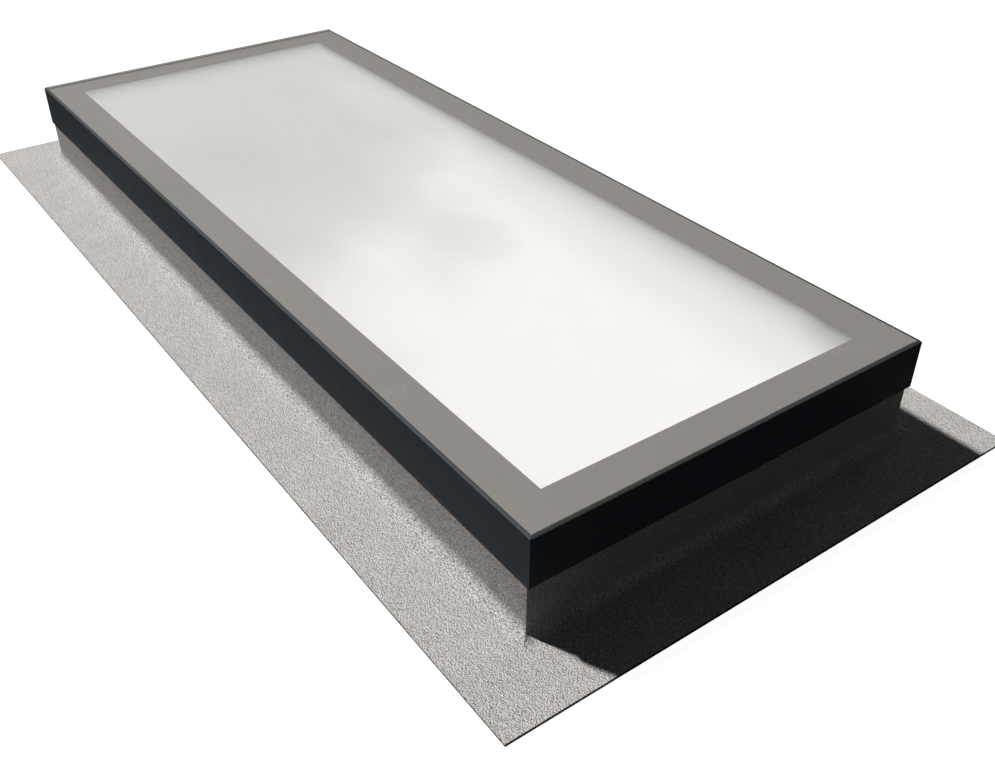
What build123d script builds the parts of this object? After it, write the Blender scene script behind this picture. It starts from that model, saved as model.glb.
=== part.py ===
import os
from math import sqrt

from build123d import *

# Fixed flat-glass roof skylight on a kerb, in millimetres.
# The origin is on the roof deck in the middle of the skylight: +X runs along the length, +Z is up.

# Frame
frame_length = 2500.0
frame_width = 1000.0
fascia_height = 110.0
fascia_lap = 26.0
fascia_wall = 2.0
rim_bevel = 4.4
rim_rise = 4.5
rail_depth = 40.0
rail_wall = 2.0

# Thermal break between the frame rails and the inner rails
break_gap = 16.0
jaw_depth = 4.0
jaw_height = 10.0
jaw_floor = 1.0
slot_mouth = 3.0
slot_root = 5.0
break_fit = 0.1
break_height_shares = (0.28, 0.72)

# Kerb and membrane
kerb_height = 150.0
kerb_side_thickness = 70.0
kerb_rebate_depth = 10.0
side_clearance = 1.0
end_clearance = 8.0
skirt_thickness = 3.0
skirt_flange = 163.0
skirt_radius = 30.0
cove_nose = 2.0
cove_fit = 0.3

# Inner rails
inner_wall = 2.0
leg_clearance = 1.0
leg_drop = 40.0

# Double glazing
outer_pane_thickness = 6.0
inner_pane_thickness = 8.8
pane_cavity = 10.0
pane_edge_gap = 6.0
border_width = 86.0
border_thickness = 0.4
spacer_width = 6.0
sealant_width = 6.0

# Beds, seals and blocks
joint_width = 2.0
joint_recess = 0.5
bed_thickness = 4.0
bed_margin = 4.0
gasket_thickness = 4.0
gasket_margin = 2.0
kerb_seal_thickness = 4.0
kerb_seal_margin = 4.0
block_length = 60.0
block_spread_share = 0.4

# Corner cleats
cleat_length = 80.0
cleat_wall = 12.0
inner_cleat_length = 60.0
inner_cleat_wall = 8.0
cleat_fit = 0.3

# Screws
fixing_diameter = 5.0
fixing_length = 45.0
fixing_head_width = 10.0
fixing_head_height = 3.5
fixing_fit = 0.1
fixing_end_distance = 150.0
side_fixing_count = 5
end_fixing_count = 2

overrun = 1.0

# Heights, from the roof deck up
fascia_bottom = kerb_height - fascia_lap
fascia_top = fascia_bottom + fascia_height
glass_top = fascia_top + rim_rise
outer_pane_bottom = glass_top - outer_pane_thickness
border_bottom = outer_pane_bottom - border_thickness
ledge_top = border_bottom - bed_thickness
inner_pane_top = outer_pane_bottom - pane_cavity
inner_pane_bottom = inner_pane_top - inner_pane_thickness
inner_ledge_top = inner_pane_bottom - gasket_thickness
rail_base = kerb_height + kerb_seal_thickness
leg_bottom = rail_base - leg_drop
break_heights = [rail_base + share * (inner_ledge_top - rail_base) for share in break_height_shares]

# Insets, from the outer face of the fascia inwards
pane_inset = rim_bevel + joint_width
border_inset = pane_inset + border_width
inner_pane_inset = rail_depth + pane_edge_gap
spacer_inset = inner_pane_inset + sealant_width
inner_rail_inset = rail_depth + break_gap
side_board_inset = fascia_wall + side_clearance + skirt_thickness
end_board_inset = fascia_wall + end_clearance + skirt_thickness
kerb_inset = side_board_inset + kerb_side_thickness
kerb_end_thickness = kerb_inset - end_board_inset
leg_outer = kerb_inset + leg_clearance
leg_inner = leg_outer + inner_wall

# Outlines in plan, as length and width
frame_outline = (frame_length, frame_width)
kerb_outline = (frame_length - 2 * end_board_inset, frame_width - 2 * side_board_inset)

up = Vector(0, 0, 1)
inwards = {
    "front": Vector(0, 1, 0),
    "back": Vector(0, -1, 0),
    "left": Vector(1, 0, 0),
    "right": Vector(-1, 0, 0),
}
long_sides = ("front", "back")


# The length of one side of an outline
def side_run(outline, side):
    return outline[0] if side in long_sides else outline[1]


# The distance from the middle of an outline out to one side
def side_reach(outline, side):
    return outline[1] / 2 if side in long_sides else outline[0] / 2


# A section plane in the middle of one side: local x is the inset from the outline, local y is the height
def section_plane(outline, side):
    inward = inwards[side]
    return Plane(
        origin=inward * -side_reach(outline, side),
        x_dir=inward,
        z_dir=inward.cross(up),
    )


# Cut both ends of the bar in hand at 45 degrees, through the corners of an outline
def mitre_ends(outline, side):
    inward = inwards[side]
    along = inward.cross(up)
    for end in (along, -along):
        corner = inward * -side_reach(outline, side) + end * (side_run(outline, side) / 2)
        split(bisect_by=Plane(origin=corner, z_dir=end + inward), keep=Keep.BOTTOM)


# The upright plane of the fixing screws on one side, on the inner face of the leg
def fixing_plane(side):
    inward = inwards[side]
    origin = inward * (leg_inner - side_reach(frame_outline, side)) + up * (rail_base - leg_drop / 2)
    return Plane(origin=origin, x_dir=up.cross(inward), z_dir=inward)


# The places of the fixing screws on one side, along the leg
def fixing_places(side):
    count = side_fixing_count if side in long_sides else end_fixing_count
    span = side_run(frame_outline, side) - 2 * (leg_inner + fixing_end_distance)
    return GridLocations(span / (count - 1), 0, count, 1)


# Drill the piece in hand for the fixing screws of one side
def drill_fixings(side, depth):
    with Locations(fixing_plane(side)):
        with fixing_places(side):
            Hole(fixing_diameter / 2 + fixing_fit, depth)


# A flat ring in the sketch in hand, between two insets from the fascia
def frame_ring(outer_inset, inner_inset):
    Rectangle(frame_length - 2 * outer_inset, frame_width - 2 * outer_inset)
    Rectangle(frame_length - 2 * inner_inset, frame_width - 2 * inner_inset, mode=Mode.SUBTRACT)


# A box between two corners in the section in hand
def section_box(low_inset, low_height, high_inset, high_height, mode=Mode.ADD):
    with Locations((low_inset, low_height)):
        Rectangle(
            high_inset - low_inset,
            high_height - low_height,
            align=(Align.MIN, Align.MIN),
            mode=mode,
        )


# A jaw on a rail wall with a dovetail slot; away is 1 where the jaw faces inwards and -1 outwards
def break_jaw(wall_inset, away, height):
    mouth_inset = wall_inset + away * jaw_depth
    floor_inset = wall_inset + away * jaw_floor
    low_inset, high_inset = sorted((wall_inset, mouth_inset))
    section_box(low_inset, height - jaw_height / 2, high_inset, height + jaw_height / 2)
    Polygon(
        (floor_inset, height - slot_root / 2),
        (mouth_inset, height - slot_mouth / 2),
        (mouth_inset, height + slot_mouth / 2),
        (floor_inset, height + slot_root / 2),
        align=None,
        mode=Mode.SUBTRACT,
    )


# One plastic bar with a dovetail foot in each jaw
def break_bar(height):
    floors = (rail_depth + jaw_floor, inner_rail_inset - jaw_floor)
    mouths = (rail_depth + jaw_depth, inner_rail_inset - jaw_depth)
    root = slot_root / 2 - break_fit
    neck = slot_mouth / 2 - break_fit
    Polygon(
        (floors[0] + break_fit, height - root),
        (mouths[0], height - neck),
        (mouths[1], height - neck),
        (floors[1] - break_fit, height - root),
        (floors[1] - break_fit, height + root),
        (mouths[1], height + neck),
        (mouths[0], height + neck),
        (floors[0] + break_fit, height + root),
        align=None,
    )


# An angle in plan at the +X +Y corner of the frame, for a cleat
def cleat_angle(inset, length, wall):
    with Locations((frame_length / 2 - inset, frame_width / 2 - inset)):
        Rectangle(length, length, align=Align.MAX)
    with Locations((frame_length / 2 - inset - wall, frame_width / 2 - inset - wall)):
        Rectangle(length, length, align=Align.MAX, mode=Mode.SUBTRACT)


os.makedirs("parts", exist_ok=True)

# Frame rails: hollow extrusions with the fascia, the bevelled rim and the glazing ledge in one section
for side in inwards:
    with BuildPart() as frame_rail:
        with BuildSketch(section_plane(frame_outline, side)):
            with BuildLine():
                Polyline(
                    (0, fascia_bottom),
                    (0, fascia_top),
                    (rim_bevel, glass_top),
                    (rim_bevel, ledge_top),
                    (rail_depth, ledge_top),
                    (rail_depth, rail_base),
                    (fascia_wall, rail_base),
                    (fascia_wall, fascia_bottom),
                    close=True,
                )
            make_face()
            chamber_floor = rail_base + rail_wall
            chamber_roof = ledge_top - rail_wall
            web_floor = (chamber_floor + chamber_roof - rail_wall) / 2
            chamber_end = rail_depth - rail_wall
            section_box(fascia_wall, chamber_floor, chamber_end, web_floor, Mode.SUBTRACT)
            section_box(fascia_wall, web_floor + rail_wall, chamber_end, chamber_roof, Mode.SUBTRACT)
            for height in break_heights:
                break_jaw(rail_depth, 1, height)
        extrude(amount=side_run(frame_outline, side) / 2, both=True)
        mitre_ends(frame_outline, side)
    frame_rail.part.label = f"frame_rail_{side}"
    export_step(frame_rail.part, f"parts/frame_rail_{side}.step")

# Inner rails: a box that carries the inner pane, with a leg down the inside of the kerb
for side in inwards:
    with BuildPart() as inner_rail:
        with BuildSketch(section_plane(frame_outline, side)):
            section_box(inner_rail_inset, rail_base, leg_inner, inner_ledge_top)
            section_box(leg_outer, leg_bottom, leg_inner, rail_base)
            section_box(
                inner_rail_inset + inner_wall,
                rail_base + inner_wall,
                leg_outer,
                inner_ledge_top - inner_wall,
                Mode.SUBTRACT,
            )
            for height in break_heights:
                break_jaw(inner_rail_inset, -1, height)
        extrude(amount=side_run(frame_outline, side) / 2, both=True)
        mitre_ends(frame_outline, side)
        drill_fixings(side, inner_wall)
    inner_rail.part.label = f"inner_rail_{side}"
    export_step(inner_rail.part, f"parts/inner_rail_{side}.step")

# Thermal breaks: two bars that join each pair of rails
for side in inwards:
    with BuildPart() as thermal_break:
        with BuildSketch(section_plane(frame_outline, side)):
            for height in break_heights:
                break_bar(height)
        extrude(amount=side_run(frame_outline, side) / 2, both=True)
        mitre_ends(frame_outline, side)
    thermal_break.part.label = f"thermal_break_{side}"
    export_step(thermal_break.part, f"parts/thermal_break_{side}.step")

# Corner cleats in the lower chamber of the frame rails
with BuildPart() as corner_cleats:
    with BuildSketch(Plane.XY.offset(rail_base + rail_wall + cleat_fit)):
        cleat_angle(fascia_wall + cleat_fit, cleat_length, cleat_wall)
    extrude(amount=(ledge_top - rail_base - 3 * rail_wall) / 2 - 2 * cleat_fit)
    mirror(about=Plane.XZ)
    mirror(about=Plane.YZ)
corner_cleats.part.label = "corner_cleats"
export_step(corner_cleats.part, "parts/corner_cleats.step")

# Corner cleats in the boxes of the inner rails
with BuildPart() as inner_corner_cleats:
    with BuildSketch(Plane.XY.offset(rail_base + inner_wall + cleat_fit)):
        cleat_angle(inner_rail_inset + inner_wall + cleat_fit, inner_cleat_length, inner_cleat_wall)
    extrude(amount=inner_ledge_top - rail_base - 2 * (inner_wall + cleat_fit))
    mirror(about=Plane.XZ)
    mirror(about=Plane.YZ)
inner_corner_cleats.part.label = "inner_corner_cleats"
export_step(inner_corner_cleats.part, "parts/inner_corner_cleats.step")

# Double glazing: a wide outer pane over a smaller inner pane, sealed round a spacer
with BuildPart() as outer_pane:
    with BuildSketch(Plane.XY.offset(outer_pane_bottom)):
        Rectangle(frame_length - 2 * pane_inset, frame_width - 2 * pane_inset)
    extrude(amount=outer_pane_thickness)
outer_pane.part.label = "outer_pane"
export_step(outer_pane.part, "parts/outer_pane.step")

with BuildPart() as enamel_band:
    with BuildSketch(Plane.XY.offset(border_bottom)):
        frame_ring(pane_inset, border_inset)
    extrude(amount=border_thickness)
enamel_band.part.label = "enamel_band"
export_step(enamel_band.part, "parts/enamel_band.step")

with BuildPart() as edge_sealant:
    with BuildSketch(Plane.XY.offset(inner_pane_top)):
        frame_ring(inner_pane_inset, spacer_inset)
    extrude(amount=pane_cavity - border_thickness)
edge_sealant.part.label = "edge_sealant"
export_step(edge_sealant.part, "parts/edge_sealant.step")

with BuildPart() as spacer_bar:
    with BuildSketch(Plane.XY.offset(inner_pane_top)):
        frame_ring(spacer_inset, spacer_inset + spacer_width)
    extrude(amount=pane_cavity - border_thickness)
spacer_bar.part.label = "spacer_bar"
export_step(spacer_bar.part, "parts/spacer_bar.step")

with BuildPart() as inner_pane:
    with BuildSketch(Plane.XY.offset(inner_pane_bottom)):
        Rectangle(frame_length - 2 * inner_pane_inset, frame_width - 2 * inner_pane_inset)
    extrude(amount=inner_pane_thickness)
inner_pane.part.label = "inner_pane"
export_step(inner_pane.part, "parts/inner_pane.step")

# Beds and seals of the glazing
with BuildPart() as glazing_bed:
    with BuildSketch(Plane.XY.offset(ledge_top)):
        frame_ring(pane_inset + bed_margin, rail_depth - bed_margin)
    extrude(amount=bed_thickness)
glazing_bed.part.label = "glazing_bed"
export_step(glazing_bed.part, "parts/glazing_bed.step")

with BuildPart() as weather_seal:
    with BuildSketch(Plane.XY.offset(ledge_top)):
        frame_ring(rim_bevel, pane_inset)
    extrude(amount=glass_top - joint_recess - ledge_top)
weather_seal.part.label = "weather_seal"
export_step(weather_seal.part, "parts/weather_seal.step")

with BuildPart() as pane_gasket:
    with BuildSketch(Plane.XY.offset(inner_ledge_top)):
        frame_ring(inner_rail_inset + gasket_margin, leg_inner - gasket_margin)
    extrude(amount=gasket_thickness)
pane_gasket.part.label = "pane_gasket"
export_step(pane_gasket.part, "parts/pane_gasket.step")

# Setting blocks that keep the inner pane centred between the frame rails
with BuildPart() as setting_blocks:
    block_inset = rail_depth + pane_edge_gap / 2
    block_row_length = frame_length - 2 * block_inset
    block_row_width = frame_width - 2 * block_inset
    with BuildSketch(Plane.XY.offset(inner_pane_bottom)):
        with GridLocations(block_spread_share * block_row_length, block_row_width, 3, 2):
            Rectangle(block_length, pane_edge_gap)
        with GridLocations(block_row_length, block_spread_share * block_row_width, 2, 2):
            Rectangle(pane_edge_gap, block_length)
    extrude(amount=inner_pane_thickness)
setting_blocks.part.label = "setting_blocks"
export_step(setting_blocks.part, "parts/setting_blocks.step")

# Kerb seal: two foam rings on top of the kerb, one under each rail
with BuildPart() as kerb_seal:
    with BuildSketch(Plane.XY.offset(kerb_height)):
        frame_ring(end_board_inset + kerb_seal_margin, rail_depth - kerb_seal_margin)
    extrude(amount=kerb_seal_thickness)
    with BuildSketch(Plane.XY.offset(kerb_height)):
        frame_ring(inner_rail_inset + kerb_seal_margin, kerb_inset - kerb_seal_margin)
    extrude(amount=kerb_seal_thickness)
kerb_seal.part.label = "kerb_seal"
export_step(kerb_seal.part, "parts/kerb_seal.step")

# Hexagon-headed screws through the legs of the inner rails into the kerb
with BuildPart() as fixing_screws:
    for side in inwards:
        with BuildSketch(fixing_plane(side)):
            with fixing_places(side):
                RegularPolygon(fixing_head_width / 2, 6, major_radius=False)
        extrude(amount=fixing_head_height)
        with BuildSketch(fixing_plane(side)):
            with fixing_places(side):
                Circle(fixing_diameter / 2)
        extrude(amount=-fixing_length)
fixing_screws.part.label = "fixing_screws"
export_step(fixing_screws.part, "parts/fixing_screws.step")

# Kerb boards: the short boards stand in rebates across the ends of the long ones
for side in inwards:
    with BuildPart() as kerb_board:
        thickness = kerb_side_thickness if side in long_sides else kerb_end_thickness
        with BuildSketch(section_plane(kerb_outline, side)):
            section_box(0, 0, thickness, kerb_height)
        if side in long_sides:
            extrude(amount=kerb_outline[0] / 2, both=True)
            with BuildSketch(Plane.XY):
                Rectangle(
                    kerb_outline[0] + 2 * overrun,
                    kerb_outline[1] - 2 * (kerb_side_thickness - kerb_rebate_depth),
                )
                Rectangle(
                    kerb_outline[0] - 2 * kerb_end_thickness,
                    kerb_outline[1],
                    mode=Mode.SUBTRACT,
                )
            extrude(amount=kerb_height, mode=Mode.SUBTRACT)
        else:
            extrude(amount=kerb_outline[1] / 2 - kerb_side_thickness + kerb_rebate_depth, both=True)
        drill_fixings(side, fixing_length + fixing_fit)
    kerb_board.part.label = f"kerb_board_{side}"
    export_step(kerb_board.part, f"parts/kerb_board_{side}.step")

# Angle fillets: cove strips in the corner between kerb and deck, under the membrane
cove_radius = skirt_radius + skirt_thickness
cove_arc_radius = cove_radius + cove_fit
cove_reach = sqrt(cove_arc_radius**2 - (cove_radius - cove_nose) ** 2)
for side in inwards:
    with BuildPart() as angle_fillet:
        with BuildSketch(section_plane(kerb_outline, side)):
            with BuildLine():
                Polyline(
                    (-cove_nose, cove_radius - cove_reach),
                    (0, cove_radius - cove_reach),
                    (0, 0),
                    (cove_reach - cove_radius, 0),
                    (cove_reach - cove_radius, cove_nose),
                )
                RadiusArc(
                    (cove_reach - cove_radius, cove_nose),
                    (-cove_nose, cove_radius - cove_reach),
                    -cove_arc_radius,
                )
            make_face()
        extrude(amount=side_run(kerb_outline, side) / 2 + cove_radius, both=True)
        mitre_ends(kerb_outline, side)
    angle_fillet.part.label = f"angle_fillet_{side}"
    export_step(angle_fillet.part, f"parts/angle_fillet_{side}.step")

# Membrane skirt: one skin up the kerb, round the cove and out into a square-cut flange
with BuildPart() as membrane_skirt:
    with BuildLine() as kerb_line:
        Polyline(
            (0, -kerb_outline[1] / 2),
            (kerb_outline[0] / 2, -kerb_outline[1] / 2),
            (kerb_outline[0] / 2, kerb_outline[1] / 2),
            (-kerb_outline[0] / 2, kerb_outline[1] / 2),
            (-kerb_outline[0] / 2, -kerb_outline[1] / 2),
            close=True,
        )
    with BuildSketch(section_plane(kerb_outline, "front")):
        flange_end = -skirt_thickness - skirt_flange
        with BuildLine():
            Polyline(
                (-cove_radius, 0),
                (flange_end, 0),
                (flange_end, skirt_thickness),
                (-cove_radius, skirt_thickness),
            )
            RadiusArc((-cove_radius, skirt_thickness), (-skirt_thickness, cove_radius), -skirt_radius)
            Polyline(
                (-skirt_thickness, cove_radius),
                (-skirt_thickness, kerb_height),
                (0, kerb_height),
                (0, cove_radius),
            )
            RadiusArc((0, cove_radius), (-cove_radius, 0), cove_radius)
        make_face()
    sweep(path=kerb_line.wire(), transition=Transition.RIGHT)
membrane_skirt.part.label = "membrane_skirt"
export_step(membrane_skirt.part, "parts/membrane_skirt.step")
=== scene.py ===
from math import radians

import bmesh
import bpy
from mathutils import Matrix, Vector


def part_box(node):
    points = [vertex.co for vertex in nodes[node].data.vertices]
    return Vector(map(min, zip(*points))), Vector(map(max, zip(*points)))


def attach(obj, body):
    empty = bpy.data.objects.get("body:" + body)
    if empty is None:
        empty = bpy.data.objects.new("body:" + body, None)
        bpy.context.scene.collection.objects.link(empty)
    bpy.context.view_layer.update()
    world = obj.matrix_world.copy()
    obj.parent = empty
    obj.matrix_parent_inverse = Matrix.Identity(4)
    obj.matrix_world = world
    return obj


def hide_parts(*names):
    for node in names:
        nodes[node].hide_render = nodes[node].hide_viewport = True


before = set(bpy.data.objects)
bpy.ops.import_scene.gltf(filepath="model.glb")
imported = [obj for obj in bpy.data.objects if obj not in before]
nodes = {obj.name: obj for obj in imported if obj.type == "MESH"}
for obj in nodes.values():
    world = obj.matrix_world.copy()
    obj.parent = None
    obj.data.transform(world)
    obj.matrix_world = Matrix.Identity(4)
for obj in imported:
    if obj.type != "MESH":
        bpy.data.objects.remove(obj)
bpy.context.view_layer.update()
print("frame loaded:", len(nodes), "nodes")


# One output socket of a shader node, with maths on it
class Wire:
    def __init__(self, tree, socket=None):
        self.tree = tree
        self.socket = socket

    # Any node: its type, its settings, then the values or links of its sockets
    def node(self, kind, settings=None, sockets=None, out=0):
        made = self.tree.nodes.new("ShaderNode" + kind)
        for name, value in (settings or {}).items():
            if name == "stops":
                stops = made.color_ramp.elements
                while len(stops) < len(value):
                    stops.new(1.0)
                for stop, (position, tone) in zip(stops, value):
                    stop.position = position
                    stop.color = (tone, tone, tone, 1)
            else:
                setattr(made, name, value)
        for name, value in (sockets or {}).items():
            if isinstance(value, Wire):
                self.tree.links.new(value.socket, made.inputs[name])
            else:
                made.inputs[name].default_value = value
        return Wire(self.tree, made.outputs[out] if len(made.outputs) else None)

    def maths(self, operation, first, second=0.0, clamp=False):
        settings = {"operation": operation, "use_clamp": clamp}
        return self.node("Math", settings, {0: first, 1: second})

    def __add__(self, other):
        return self.maths("ADD", self, other)

    def __radd__(self, other):
        return self.maths("ADD", other, self)

    def __sub__(self, other):
        return self.maths("SUBTRACT", self, other)

    def __rsub__(self, other):
        return self.maths("SUBTRACT", other, self)

    def __mul__(self, other):
        return self.maths("MULTIPLY", self, other)

    def __rmul__(self, other):
        return self.maths("MULTIPLY", other, self)

    def __truediv__(self, other):
        return self.maths("DIVIDE", self, other)

    def __pow__(self, other):
        return self.maths("POWER", self, other)

    def __gt__(self, other):
        return self.maths("GREATER_THAN", self, other)

    def __abs__(self):
        return self.maths("ABSOLUTE", self)

    def clamped(self):
        return self.maths("ADD", self, 0.0, clamp=True)


# A new finish: its material, and the place on the piece in metres, which its nodes start from
def startFinish(name):
    finish = bpy.data.materials.new(name)
    finish.use_nodes = True
    finish.node_tree.nodes.clear()
    return finish, Wire(finish.node_tree).node("TexCoord", out="Object")


def endFinish(surface):
    surface.node("OutputMaterial", sockets={"Surface": surface})


def axes(place):
    parted = place.node("SeparateXYZ", sockets={0: place})
    return [Wire(place.tree, socket) for socket in parted.socket.node.outputs]


def noise(place, scale, detail=2.0, rough=0.5):
    sockets = {"Vector": place, "Scale": scale, "Detail": detail, "Roughness": rough}
    return place.node("TexNoise", sockets=sockets)


def cells(place, scale, out="Distance"):
    return place.node("TexVoronoi", sockets={"Vector": place, "Scale": scale}, out=out)


def stretched(place, scale):
    return place.node("Mapping", sockets={"Vector": place, "Scale": scale})


def eased(value, low, high):
    settings = {"interpolation_type": "SMOOTHSTEP"}
    return value.node("MapRange", settings, {"Value": value, "From Min": low, "From Max": high})


# A tone that follows its stops between two places
def toned(value, reach, stops):
    start, end = reach
    along = ((value - start) / (end - start)).clamped()
    return along.node("ValToRGB", {"stops": stops}, {0: along})


def blend(share, first, second):
    return share.node("Mix", {"data_type": "RGBA"}, {0: share, 6: first, 7: second}, out=2)


def raised(height, depth):
    return height.node("Bump", sockets={"Strength": 1.0, "Distance": depth, "Height": height})


def principled(base, roughness, normal, shine=0.5, metallic=0.0):
    sockets = {
        "Base Color": base,
        "Roughness": roughness,
        "Normal": normal,
        "Specular IOR Level": shine,
        "Metallic": metallic,
    }
    return base.node("BsdfPrincipled", sockets=sockets)


def mixed(share, first, second):
    return share.node("MixShader", sockets={0: share, 1: first, 2: second})


# Powder coat: matt, with a fine orange peel and a faint chalky bloom
coat = {
    "bloomReach": (0.35, 0.7),
    "peelScale": 480.0,  # bumps of about 2 mm
    "peelDepth": 0.00006,
    "mottleScale": 14.0,
    "roughnessSpread": 0.16,
}

frameCoat = {
    **coat,
    "colour": (0.0195, 0.0256, 0.0302, 1),
    "bloomColour": (0.0220, 0.0281, 0.0327, 1),
    "bloomScale": 3.0,
    # Painted light: a paler right end and a painted sheen on the rim, palest on that end
    "paintedEndLightColour": (0.039, 0.047, 0.054, 1),
    "endDepth": 0.0003,
    "rimSheenColour": (0.045, 0.049, 0.051, 1),
    "rimDepth": 0.0042,
    "rimSoft": 0.0004,
    "endRimSheenColour": (0.150, 0.158, 0.155, 1),
    "endRimDepth": 0.0048,
    "endRimSoft": 0.0002,
    "sideRimDepth": 0.0043,
    "roughness": 0.66,
    "shine": 0.15,
}

innerCoat = {
    **coat,
    "colour": (0.80, 0.80, 0.775, 1),
    "bloomColour": (0.76, 0.76, 0.73, 1),
    "bloomScale": 4.0,
    "roughness": 0.42,
    "shine": 0.5,
}


# Painted light: the right end a little paler, and a painted sheen on the rim, palest at that end
def paintedEndLightAndRimSheen(place, base, look):
    x, y, z = axes(place)
    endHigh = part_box("frame_rail_right")[1]
    rimStart = endHigh.z - look["rimDepth"]
    endStart = endHigh.x - look["endRimDepth"]
    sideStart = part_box("frame_rail_back")[1].y - look["sideRimDepth"]
    rim = eased(z, rimStart - look["rimSoft"], rimStart + look["rimSoft"])
    endRim = eased(x, endStart - look["endRimSoft"], endStart + look["endRimSoft"])
    endRim = endRim * (1 - (abs(y) > sideStart))
    base = blend(x > endHigh.x - look["endDepth"], base, look["paintedEndLightColour"])
    return blend(rim, base, blend(endRim, look["rimSheenColour"], look["endRimSheenColour"]))


def powderCoat(name, look):
    finish, place = startFinish(name)
    bloom = noise(place, look["bloomScale"], detail=4.0, rough=0.6)
    base = blend(eased(bloom, *look["bloomReach"]), look["colour"], look["bloomColour"])
    # Painted light on the frame: a paler right end and a painted sheen on the rim
    if "rimSheenColour" in look:
        base = paintedEndLightAndRimSheen(place, base, look)
    mottle = noise(place, look["mottleScale"], detail=3.0) - 0.5
    roughness = look["roughness"] + look["roughnessSpread"] * mottle
    normal = raised(noise(place, look["peelScale"]), look["peelDepth"])
    endFinish(principled(base, roughness, normal, look["shine"]))
    return finish


# Clear outer pane: lets light straight through, mirrors more at a slant, carries a film of dust
clearPane = {
    "tint": (0.99, 0.99, 0.99, 1),
    "headOn": 0.04,
    "slantPower": 5,
    "smearScale": 5.0,
    "smearReach": (0.4, 0.75),
    "roughness": 0.015,
    "roughnessSpread": 0.07,
    "waveScale": 2.5,
    "waveDepth": 0.0003,
    "dustColour": (0.62, 0.60, 0.56, 1),
    "dustMost": 0.035,
    "dustEven": 0.25,  # the rest of it lies in specks
    "speckScale": 160.0,
    "speckReach": (0.52, 0.8),
    "groundColour": (0.41, 0.405, 0.39, 1),
    "groundDepth": 0.0003,
    "arrisColour": (0.015, 0.016, 0.016, 1),
    "arrisDepth": 0.0022,
    # Painted light: the glow on the pane's left end face
    "paintedEndGlowColour": (0.335, 0.322, 0.300, 1),
}


def clearGlass(look):
    finish, place = startFinish("clearGlass")
    slant = place.node("LayerWeight", sockets={"Blend": 0.5}, out="Facing")
    mirrored = look["headOn"] + (1 - look["headOn"]) * slant ** look["slantPower"]
    smear = eased(noise(place, look["smearScale"], detail=5.0, rough=0.6), *look["smearReach"])
    roughness = look["roughness"] + look["roughnessSpread"] * smear
    waves = raised(noise(place, look["waveScale"], detail=1.0), look["waveDepth"])
    clear = place.node("BsdfTransparent", sockets={"Color": look["tint"]})
    mirror = place.node("BsdfGlossy", sockets={"Roughness": roughness, "Normal": waves})
    specks = eased(noise(place, look["speckScale"], detail=3.0, rough=0.7), *look["speckReach"])
    film = look["dustMost"] * smear * (look["dustEven"] + (1 - look["dustEven"]) * specks)
    dust = place.node("BsdfDiffuse", sockets={"Color": look["dustColour"]})
    face = mixed(film, mixed(mirrored, clear, mirror), dust)
    # Ground edge: the seal shows through at the top of the sides
    x, y, z = axes(place)
    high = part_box("outer_pane")[1]
    endStart = high.x - look["groundDepth"]
    atSide = abs(y) > high.y - look["groundDepth"]
    arris = atSide * (z > high.z - look["arrisDepth"])
    groundColour = blend(arris, look["groundColour"], look["arrisColour"])
    ground = place.node("BsdfDiffuse", sockets={"Color": groundColour})
    # Painted light: a glow on the pane's left end face, for light carried to it within the glass
    paintedGlow = place.node("Emission", sockets={"Color": look["paintedEndGlowColour"]})
    ground = mixed(0 - x > endStart, ground, paintedGlow)
    atEnd = abs(x) > endStart
    endFinish(mixed((atEnd + atSide).clamped(), face, ground))
    return finish


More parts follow.
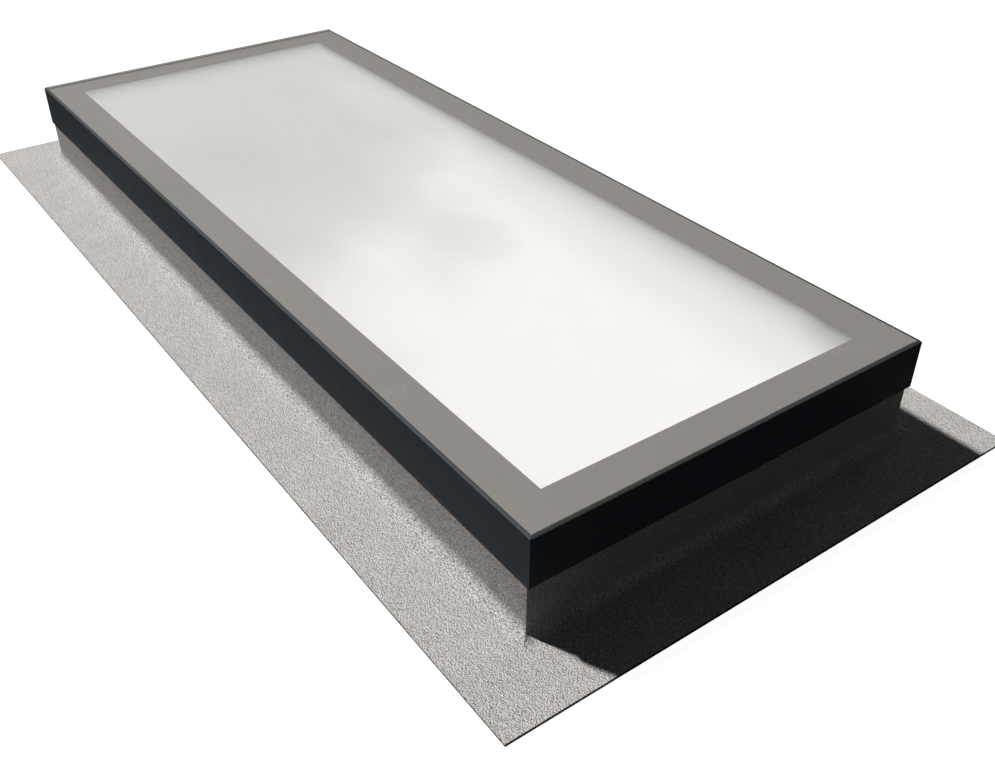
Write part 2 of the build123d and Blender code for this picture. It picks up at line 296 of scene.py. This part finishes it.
# Opal inner pane: white, cloudy, with painted light and shade, brightest at the right end
opalPane = {
    "white": (1.0, 0.987, 0.951, 1),
    "border": 0.086,  # what the print covers
    # Painted light: the tone along the pane, brightest at the right end
    "tones": (
        (0.0, 0.655),
        (0.40, 0.66),
        (0.50, 0.69),
        (0.60, 0.77),
        (0.70, 0.81),
        (0.80, 0.85),
        (0.92, 0.91),
        (1.0, 0.92),
    ),
    "toneReach": (-0.6, 0.6),
    "toneLean": 0.7,
    # Painted shade along the left edge
    "leftTones": (
        (0.0, 0.29),
        (0.027, 0.315),
        (0.05, 0.39),
        (0.09, 0.46),
        (0.13, 0.53),
        (0.18, 0.585),
        (0.27, 0.64),
        (0.36, 0.67),
        (1.0, 1.0),
    ),
    "leftReach": (-0.04, 0.40),
    # Painted shade along the back edge
    "backTones": (
        (0.0, 0.28),
        (0.025, 0.305),
        (0.063, 0.44),
        (0.11, 0.58),
        (0.16, 0.645),
        (0.22, 0.71),
        (0.31, 0.765),
        (0.47, 0.815),
        (1.0, 0.93),
    ),
    "backReach": (-0.02, 0.30),
    # Painted light and shade: lighter and darker pools
    "pools": (
        {"middle": (-0.50, 0.30), "reach": (0.50, 0.13), "lift": 0.05},
        {"middle": (0.12, 0.18), "reach": (0.20, 0.16), "lift": 0.045},
        {"middle": (0.33, 0.03), "reach": (0.18, 0.12), "lift": -0.055},
        {"middle": (0.22, -0.17), "reach": (0.20, 0.12), "lift": 0.06},
        {"middle": (-0.42, -0.26), "reach": (0.30, 0.20), "lift": -0.03},
        {"middle": (-0.12, 0.17), "reach": (0.24, 0.22), "lift": 0.06},
        {"middle": (0.38, -0.32), "reach": (0.34, 0.20), "lift": 0.07},
        {"middle": (0.02, -0.10), "reach": (0.16, 0.30), "lift": 0.03},
    ),
    # Painted shade in the back right corner
    "corner": {"middle": (1.165, 0.415), "reach": (0.16, 0.13), "lift": -0.13},
    "deepest": 0.252,
    "cloudScale": 5.0,
    "cloudShare": 0.05,
    "gain": 0.775,
    "mirroredAway": (1.27, -0.174, 0.095, 0.053),
    "mottleScale": 30.0,
    "roughness": 0.4,
    "roughnessSpread": 0.15,
    "grainScale": 700.0,
    "grainDepth": 0.00003,
    "shine": 0.3,
    "throughColour": (0.85, 0.85, 0.82, 1),
    "through": 0.08,
    "throughSpread": 0.04,
}


def poolLift(x, y, pool):
    across = (x - pool["middle"][0]) / pool["reach"][0]
    down = (y - pool["middle"][1]) / pool["reach"][1]
    return pool["lift"] * (1 - eased(across * across + down * down, 0.0, 1.0))


def opalGlass(look):
    finish, place = startFinish("opalGlass")
    x, y = axes(place)[:2]
    cloud = noise(place, look["cloudScale"], detail=3.0, rough=0.55) - 0.5
    # Painted light: brightest at the right end, with lighter and darker pools
    tone = toned(x + look["toneLean"] * y, look["toneReach"], look["tones"])
    for pool in look["pools"]:
        tone = tone + poolLift(x, y, pool)
    tone = tone + look["cloudShare"] * cloud
    # Painted shade along the left and back edges and in the back right corner
    low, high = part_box("enamel_band")
    fromLeft = x - (low.x + look["border"])
    fromBack = (high.y - look["border"]) - y
    leftEdge = toned(fromLeft, look["leftReach"], look["leftTones"])
    backEdge = toned(fromBack, look["backReach"], look["backTones"])
    tone = place.maths("MINIMUM", tone, place.maths("MINIMUM", leftEdge, backEdge))
    tone = place.maths("MAXIMUM", tone + poolLift(x, y, look["corner"]), look["deepest"])
    # Paler towards the far end, to make up for what the clear pane mirrors away there
    flat, alongX, alongY, bowX = look["mirroredAway"]
    tone = tone * look["gain"] * (flat + alongX * x + alongY * y + bowX * x * x)
    base = blend(tone.clamped(), (0, 0, 0, 1), look["white"])
    roughness = look["roughness"] + look["roughnessSpread"] * noise(place, look["mottleScale"])
    normal = raised(noise(place, look["grainScale"], detail=1.0), look["grainDepth"])
    white = principled(base, roughness, normal, look["shine"])
    through = place.node("BsdfTranslucent", sockets={"Color": look["throughColour"]})
    endFinish(mixed(look["through"] + look["throughSpread"] * cloud, white, through))
    return finish


# Fired print under the outer pane: matt grey, paler at the left end, scuffed, no bar to light
greyBand = {
    "farColour": (0.245, 0.235, 0.219, 1),
    "nearColour": (0.194, 0.184, 0.171, 1),
    "even": 0.5,
    "lean": (0.4, -0.25),
    "cloudScale": 4.0,
    "cloudShare": 0.5,
    "scuffColour": (0.285, 0.275, 0.260, 1),
    "scuffScale": 14.0,
    "scuffReach": (0.58, 0.74),
    "scuffShare": 0.5,
    "grainScale": 900.0,
    "grainShare": 0.2,
    "grainDepth": 0.00003,
    "roughness": 0.55,
    "roughnessSpread": 0.1,
}


def greyEnamel(look):
    finish, place = startFinish("greyEnamel")
    x, y = axes(place)[:2]
    cloud = noise(place, look["cloudScale"], detail=4.0, rough=0.6) - 0.5
    grain = noise(place, look["grainScale"]) - 0.5
    near = look["even"] + look["lean"][0] * x + look["lean"][1] * y
    near = near + look["cloudShare"] * cloud + look["grainShare"] * grain
    base = blend(near.clamped(), look["farColour"], look["nearColour"])
    scuffs = eased(noise(place, look["scuffScale"], detail=7.0, rough=0.75), *look["scuffReach"])
    base = blend(look["scuffShare"] * scuffs, base, look["scuffColour"])
    roughness = look["roughness"] + look["roughnessSpread"] * grain
    printed = principled(base, roughness, raised(grain, look["grainDepth"]))
    # Shadow rays pass, so that the sheet below is lit evenly up to its edge
    shadow = place.node("LightPath", out="Is Shadow Ray")
    endFinish(mixed(shadow, printed, place.node("BsdfTransparent")))
    return finish


# Roofing membrane: faced with fine mineral granules, with light and shade painted into its
# colour
skirt = {
    "darkColour": (0.085, 0.081, 0.078, 1),
    "paleColour": (0.528, 0.508, 0.489, 1),
    "evenTone": 0.58,
    "leftLift": 0.038,
    "cloudScale": 8.0,
    "cloudShare": 0.21,
    "granuleScale": 340.0,  # granules of about 3 mm
    "granuleShare": 0.46,
    # Painted light and shade: a pale lit flank and a dark shaded flank on each grain
    "paintedFlankGrains": (
        {"scale": 330.0, "step": 0.0018, "share": 2.2},
        {"scale": 160.0, "step": 0.0035, "share": 0.5},
    ),
    # Painted shade in the pits, where the bumps are low
    "pitReach": (-0.26, -0.15),
    "pitShadeShare": 0.6,
    "bumpScale": 300.0,  # bumps of 4 mm
    "bumpShare": 0.4,
    "bumpDepth": 0.003,
    "uprightReach": (0.012, 0.027),
    # Painted shade on the upstand
    "uprightShadeColour": (0.100, 0.097, 0.094, 1),
    "uprightShade": 0.27,
    "uprightCalm": 0.2,
    "uprightBumpCalm": 0.35,
    # Painted shade: the cut edges and a strip of top beside them near black, widest at the ends
    "cutEdgeShadeColour": (0.005, 0.005, 0.005, 1),
    "endEdge": 0.0024,
    "sideEdge": 0.0007,
    "roughness": 0.86,
    "roughnessSpread": 0.1,
    "shine": 0.2,
}


# A noise less itself a step further across: painted light and shade on the flanks of grains
def paintedFlanks(place, scale, step):
    further = place.node("VectorMath", {"operation": "ADD"}, {0: place, 1: (0, step, 0)})
    return noise(place, scale, rough=0.6) - noise(further, scale, rough=0.6)


def roofMembrane(look):
    finish, place = startFinish("roofMembrane")
    x, y, z = axes(place)
    granule = cells(place, look["granuleScale"], "Color") - 0.5
    bumps = noise(place, look["bumpScale"], detail=1.0) - 0.5
    # Painted shade in the pits
    pitShade = 1 - eased(bumps, *look["pitReach"])
    cloud = noise(place, look["cloudScale"], detail=4.0, rough=0.6) - 0.5
    upright = eased(z, *look["uprightReach"])
    # Granule colour, with painted shade in the pits and painted light and shade on the flanks
    rough = look["granuleShare"] * granule - look["pitShadeShare"] * pitShade
    for grain in look["paintedFlankGrains"]:
        rough = rough + grain["share"] * paintedFlanks(place, grain["scale"], grain["step"])
    tone = look["evenTone"] + look["cloudShare"] * cloud - look["leftLift"] * x
    tone = tone + rough * (1 - look["uprightCalm"] * upright)
    base = blend(tone.clamped(), look["darkColour"], look["paleColour"])
    # Painted shade on the upstand
    base = blend(look["uprightShade"] * upright, base, look["uprightShadeColour"])
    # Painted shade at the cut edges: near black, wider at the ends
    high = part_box("membrane_skirt")[1]
    atEnd = abs(x) > high.x - look["endEdge"]
    atSide = abs(y) > high.y - look["sideEdge"]
    base = blend((atEnd + atSide).clamped(), base, look["cutEdgeShadeColour"])
    roughness = look["roughness"] + look["roughnessSpread"] * granule
    relief = look["bumpShare"] * bumps * (1 - look["uprightBumpCalm"] * upright)
    endFinish(principled(base, roughness, raised(relief, look["bumpDepth"]), look["shine"]))
    return finish


# Softwood: growth rings drawn out along the board, with pores and a few darker knots
kerbBoard = {
    "earlyColour": (0.60, 0.42, 0.235, 1),
    "lateColour": (0.42, 0.255, 0.115, 1),
    "drawnOut": 0.06,
    "rings": 55.0,
    "ringLean": 0.6,
    "wanderScale": 3.0,
    "wanderShare": 0.10,
    "lateReach": (0.45, 0.95),
    "lateShare": 0.75,
    "lateRelief": 0.4,
    "poreScales": (25.0, 900.0),  # along the grain and across it
    "poreShare": 0.35,
    "poreRelief": 0.6,
    "poreDepth": 0.00025,
    "knotColour": (0.16, 0.085, 0.04, 1),
    "knotScale": 5.5,
    "knotReach": (0.05, 0.12),
    "knotShare": 0.8,
    "roughness": 0.62,
    "poreRoughness": 0.2,
    "lateRoughness": 0.1,
    "shine": 0.3,
}


def kerbTimber(name, grain, look):
    finish, place = startFinish(name)
    drawn = stretched(place, [look["drawnOut"] if i == grain else 1.0 for i in range(3)])
    wander = noise(drawn, look["wanderScale"], detail=3.0)
    x, y, z = axes(drawn)
    across = x if grain else y
    rings = z + look["ringLean"] * across + look["wanderShare"] * wander
    late = eased(place.maths("FRACT", rings * look["rings"]), *look["lateReach"])
    along, aside = look["poreScales"]
    pores = stretched(place, [along if i == grain else aside for i in range(3)])
    pores = noise(pores, 1.0, detail=3.0)
    lateness = look["lateShare"] * late + look["poreShare"] * (pores - 0.5)
    base = blend(lateness.clamped(), look["earlyColour"], look["lateColour"])
    knots = 1 - eased(cells(drawn, look["knotScale"]), *look["knotReach"])
    base = blend(look["knotShare"] * knots, base, look["knotColour"])
    roughness = look["roughness"] + look["poreRoughness"] * pores - look["lateRoughness"] * late
    relief = look["poreRelief"] * pores + look["lateRelief"] * late
    endFinish(principled(base, roughness, raised(relief, look["poreDepth"]), look["shine"]))
    return finish


# Rubber, foam and plastic: matt, each with its own skin
skin = {
    "wornScale": 11.0,
    "wornReach": (0.4, 0.75),
    "wornShare": 0.7,
    "skinShare": 0.3,
    "roughnessSpread": 0.2,
    "shine": 0.3,
}

blackSeal = {
    **skin,
    "colour": (0.012, 0.012, 0.013, 1),
    "wornColour": (0.022, 0.022, 0.023, 1),
    "roughness": 0.6,
    "skinScale": 420.0,
    "skinDepth": 0.0001,
}

spacerFoam = {
    **skin,
    "colour": (0.52, 0.51, 0.49, 1),
    "wornColour": (0.60, 0.59, 0.57, 1),
    "roughness": 0.85,
    "skinScale": 700.0,
    "skinDepth": 0.0002,
}

breakPlastic = {
    **skin,
    "colour": (0.017, 0.017, 0.018, 1),
    "wornColour": (0.03, 0.03, 0.03, 1),
    "roughness": 0.5,
    "skinScale": 260.0,
    "skinDepth": 0.00008,
}


def mattSkin(name, look):
    finish, place = startFinish(name)
    grain = noise(place, look["skinScale"], detail=3.0, rough=0.6)
    worn = eased(noise(place, look["wornScale"], detail=4.0), *look["wornReach"])
    share = look["wornShare"] * worn + look["skinShare"] * grain
    base = blend(share.clamped(), look["colour"], look["wornColour"])
    roughness = look["roughness"] + look["roughnessSpread"] * (grain - 0.5)
    endFinish(principled(base, roughness, raised(grain, look["skinDepth"]), look["shine"]))
    return finish


# Bare metal: drawn aluminium cleats and zinc-plated screws
metal = {
    "aroundScale": 30.0,
    "cloudScale": 60.0,
    "cloudReach": (0.35, 0.7),
    "lineRoughness": 0.18,
    "dullRoughness": 0.08,
}

cleatMetal = {
    **metal,
    "colour": (0.72, 0.73, 0.74, 1),
    "dullColour": (0.55, 0.56, 0.57, 1),
    "roughness": 0.38,
    "lineScale": 900.0,
    "lineDepth": 0.00004,
}

screwSteel = {
    **metal,
    "colour": (0.66, 0.65, 0.60, 1),
    "dullColour": (0.50, 0.49, 0.43, 1),
    "roughness": 0.32,
    "lineScale": 1500.0,
    "lineDepth": 0.00003,
}


def bareMetal(name, look):
    finish, place = startFinish(name)
    lines = stretched(place, (look["aroundScale"], look["aroundScale"], look["lineScale"]))
    lines = noise(lines, 1.0)
    dull = eased(noise(place, look["cloudScale"], detail=3.0), *look["cloudReach"])
    base = blend(dull, look["colour"], look["dullColour"])
    roughness = look["roughness"] + look["lineRoughness"] * (lines - 0.5)
    roughness = roughness + look["dullRoughness"] * dull
    endFinish(principled(base, roughness, raised(lines, look["lineDepth"]), metallic=1.0))
    return finish


finishes = {
    "frame_coat": powderCoat("frameCoat", frameCoat),
    "inner_coat": powderCoat("innerCoat", innerCoat),
    "clear_glass": clearGlass(clearPane),
    "opal_glass": opalGlass(opalPane),
    "grey_enamel": greyEnamel(greyBand),
    "spacer_foam": mattSkin("spacerFoam", spacerFoam),
    "black_seal": mattSkin("blackSeal", blackSeal),
    "break_plastic": mattSkin("breakPlastic", breakPlastic),
    "cleat_metal": bareMetal("cleatMetal", cleatMetal),
    "screw_steel": bareMetal("screwSteel", screwSteel),
    "kerb_timber": kerbTimber("kerbTimberLong", 0, kerbBoard),
    "roof_membrane": roofMembrane(skirt),
}
shortTimber = kerbTimber("kerbTimberShort", 1, kerbBoard)
print("finishes made:", len(finishes) + 1)


def dress(piece, finish):
    piece.data.materials.clear()
    piece.data.materials.append(finish)


# Which slot each node takes, by the start of its name
slotOfName = {
    "frame_rail": "frame_coat",
    "inner_rail": "inner_coat",
    "thermal_break": "break_plastic",
    "kerb_board": "kerb_timber",
    "angle_fillet": "kerb_timber",
    "outer_pane": "clear_glass",
    "inner_pane": "opal_glass",
    "enamel_band": "grey_enamel",
    "edge_sealant": "black_seal",
    "spacer_bar": "spacer_foam",
    "glazing_bed": "black_seal",
    "weather_seal": "black_seal",
    "pane_gasket": "black_seal",
    "setting_blocks": "break_plastic",
    "kerb_seal": "black_seal",
    "corner_cleats": "cleat_metal",
    "inner_corner_cleats": "cleat_metal",
    "fixing_screws": "screw_steel",
    "membrane_skirt": "roof_membrane",
}
slotOfNode = {}
for name, node in nodes.items():
    slotOfNode[name] = next(slot for start, slot in slotOfName.items() if name.startswith(start))
    short = slotOfNode[name] == "kerb_timber" and name.endswith(("left", "right"))
    dress(node, shortTimber if short else finishes[slotOfNode[name]])
print("nodes dressed:", len(slotOfNode))

# Pieces drawn again from their node with softened arrises
railArris = {"arris": 0.0005, "segments": 3, "deepest": 0.006}
softened = {
    "frame_rail_front": railArris,
    "frame_rail_back": railArris,
    "frame_rail_left": railArris,
    "frame_rail_right": railArris,
    "membrane_skirt": {"arris": 0.0004, "segments": 2, "deepest": 0.001},
    "outer_pane": {"arris": 0.0008, "segments": 2, "deepest": 0.001, "drawnIn": 0.0002},
}

# Lengths in metres and angles in degrees for all of them
softening = {
    "weld": 0.000002,
    "flatAngle": 0.4,
    "arrisAngle": 30.0,
    "sharpAngle": 24.0,
    "mitreShortest": 0.001,
    "mitreSlack": 0.00002,
}


def softMesh(name, sizes, look):
    low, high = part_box(name)
    reachX, reachY = max(-low.x, high.x), max(-low.y, high.y)
    mesh = bmesh.new()
    mesh.from_mesh(nodes[name].data)
    bmesh.ops.remove_doubles(mesh, verts=mesh.verts, dist=look["weld"])
    bmesh.ops.dissolve_limit(
        mesh, angle_limit=radians(look["flatAngle"]), verts=mesh.verts, edges=mesh.edges
    )
    inset = sizes.get("drawnIn", 0.0)  # clear of the face that it touches
    for vert in mesh.verts:
        for axis in range(2):
            vert.co[axis] -= inset if vert.co[axis] > 0 else -inset
    outer = []
    for edge in mesh.edges:
        middle = (edge.verts[0].co + edge.verts[1].co) / 2
        near = max(abs(middle.x) - reachX, abs(middle.y) - reachY) > -sizes["deepest"]
        if near and edge.is_manifold and edge.is_convex:
            if edge.calc_face_angle() > radians(look["arrisAngle"]):
                outer.append(edge)
    bmesh.ops.bevel(
        mesh,
        geom=outer,
        offset=sizes["arris"],
        offset_type="OFFSET",
        affect="EDGES",
        segments=sizes["segments"],
        profile=0.5,
        material=-1,
        clamp_overlap=True,
    )
    drawn = bpy.data.meshes.new(name + "Soft")
    mesh.to_mesh(drawn)
    mesh.free()
    return drawn


def softenedPiece(name, sizes, look):
    drawn = softMesh(name, sizes, look)
    drawn.polygons.foreach_set("use_smooth", [True] * len(drawn.polygons))
    drawn.set_sharp_from_angle(angle=radians(look["sharpAngle"]))
    for edge in drawn.edges:
        first, second = (drawn.vertices[i].co for i in edge.vertices)
        run = second - first
        diagonal = abs(abs(run.x) - abs(run.y)) < look["mitreSlack"]
        if diagonal and abs(run.x) > look["mitreShortest"]:
            edge.use_edge_sharp = True  # the mitre lines at the corners
    piece = bpy.data.objects.new(name + "Soft", drawn)
    even = piece.modifiers.new("evenNormals", "WEIGHTED_NORMAL")
    even.keep_sharp = True
    bpy.context.scene.collection.objects.link(piece)
    dress(piece, finishes[slotOfNode[name]])
    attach(piece, "root")
    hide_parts(name)
    return piece


for name, sizes in softened.items():
    piece = softenedPiece(name, sizes, softening)
    print("softened:", piece.name, len(piece.data.polygons), "faces")

# Floor and light
studioFloor = {
    "reach": 60.0,
    "drop": 0.0006,
    "colour": (0.12, 0.12, 0.12, 1),
    "glowColour": (1, 1, 1, 1),
    "glow": 0.965,
}

# A broad fill isn't mirrored, because it would show in the panes as a disc
suns = {
    "keySun": {
        "from": (-0.595, -0.2655, 0.7585),
        "strength": 5.97,
        "angle": 4.0,
        "colour": (1, 1, 1),
        "mirrored": True,
    },
    "backFill": {
        "from": (-0.25, 0.96, 0.03),
        "strength": 0.44,
        "angle": 40.0,
        "colour": (1, 1, 1),
        "mirrored": False,
    },
    "endFill": {
        "from": (0.98, -0.17, 0.05),
        "strength": 0.087,
        "angle": 40.0,
        "colour": (0.90, 0.96, 1.0),
        "mirrored": False,
    },
}

studioSky = {
    "colour": (0.95, 0.975, 1.10, 1),
    "strength": 0.045,
    "seenColour": (1, 1, 1, 1),
}


def layFloor(look):
    mesh = bmesh.new()
    bmesh.ops.create_grid(mesh, x_segments=1, y_segments=1, size=look["reach"])
    bmesh.ops.translate(mesh, verts=mesh.verts, vec=(0, 0, -look["drop"]))
    drawn = bpy.data.meshes.new("studioFloor")
    mesh.to_mesh(drawn)
    mesh.free()
    floor = bpy.data.objects.new("studioFloor", drawn)
    bpy.context.scene.collection.objects.link(floor)
    finish, place = startFinish("paleFloor")
    sockets = {
        "Base Color": look["colour"],
        "Roughness": 1.0,
        "Emission Color": look["glowColour"],
        "Emission Strength": look["glow"],
    }
    endFinish(place.node("BsdfPrincipled", sockets=sockets))
    dress(floor, finish)
    floor.visible_diffuse = False  # a dark studio: the floor throws no light back up
    floor.visible_glossy = False


def hangSun(name, look):
    lamp = bpy.data.lights.new(name, "SUN")
    lamp.color = look["colour"]
    lamp.energy = look["strength"]
    lamp.angle = radians(look["angle"])
    sun = bpy.data.objects.new(name, lamp)
    sun.rotation_euler = Vector(look["from"]).to_track_quat("Z", "Y").to_euler()
    sun.visible_glossy = look["mirrored"]
    bpy.context.scene.collection.objects.link(sun)


# Faint as light, and white where the camera sees it past the floor
def paintSky(look):
    sky = bpy.data.worlds.new("studioSky")
    sky.use_nodes = True
    sky.node_tree.nodes.clear()
    seen = Wire(sky.node_tree).node("LightPath", out="Is Camera Ray")
    strength = look["strength"] + (1 - look["strength"]) * seen
    colour = blend(seen, look["colour"], look["seenColour"])
    light = seen.node("Background", sockets={"Color": colour, "Strength": strength})
    light.node("OutputWorld", sockets={"Surface": light})
    bpy.context.scene.world = sky


layFloor(studioFloor)
for name, look in suns.items():
    hangSun(name, look)
paintSky(studioSky)
bpy.context.scene.view_settings.view_transform = "Standard"
print("floor and light set")

# Camera at the photograph's view
view = {
    "eye": (2.2683, -1.2978, 1.4509),
    "forward": (-0.6615, 0.4762, -0.5794),
    "right": (0.5841, 0.8117, 0.0002),
    "lens": 39.753,
    "sensor": 36.0,
    "clipEnd": 200.0,
}


def standCamera(look):
    lens = bpy.data.cameras.new("photoCamera")
    lens.lens = look["lens"]
    lens.sensor_width = look["sensor"]
    lens.sensor_fit = "HORIZONTAL"
    lens.clip_end = look["clipEnd"]
    camera = bpy.data.objects.new("photoCamera", lens)
    forward = Vector(look["forward"]).normalized()
    right = Vector(look["right"])
    right = (right - forward * right.dot(forward)).normalized()
    turn = Matrix((right, right.cross(forward), -forward)).transposed()
    camera.matrix_world = Matrix.Translation(look["eye"]) @ turn.to_4x4()
    bpy.context.scene.collection.objects.link(camera)
    bpy.context.scene.camera = camera


standCamera(view)
bpy.context.view_layer.update()
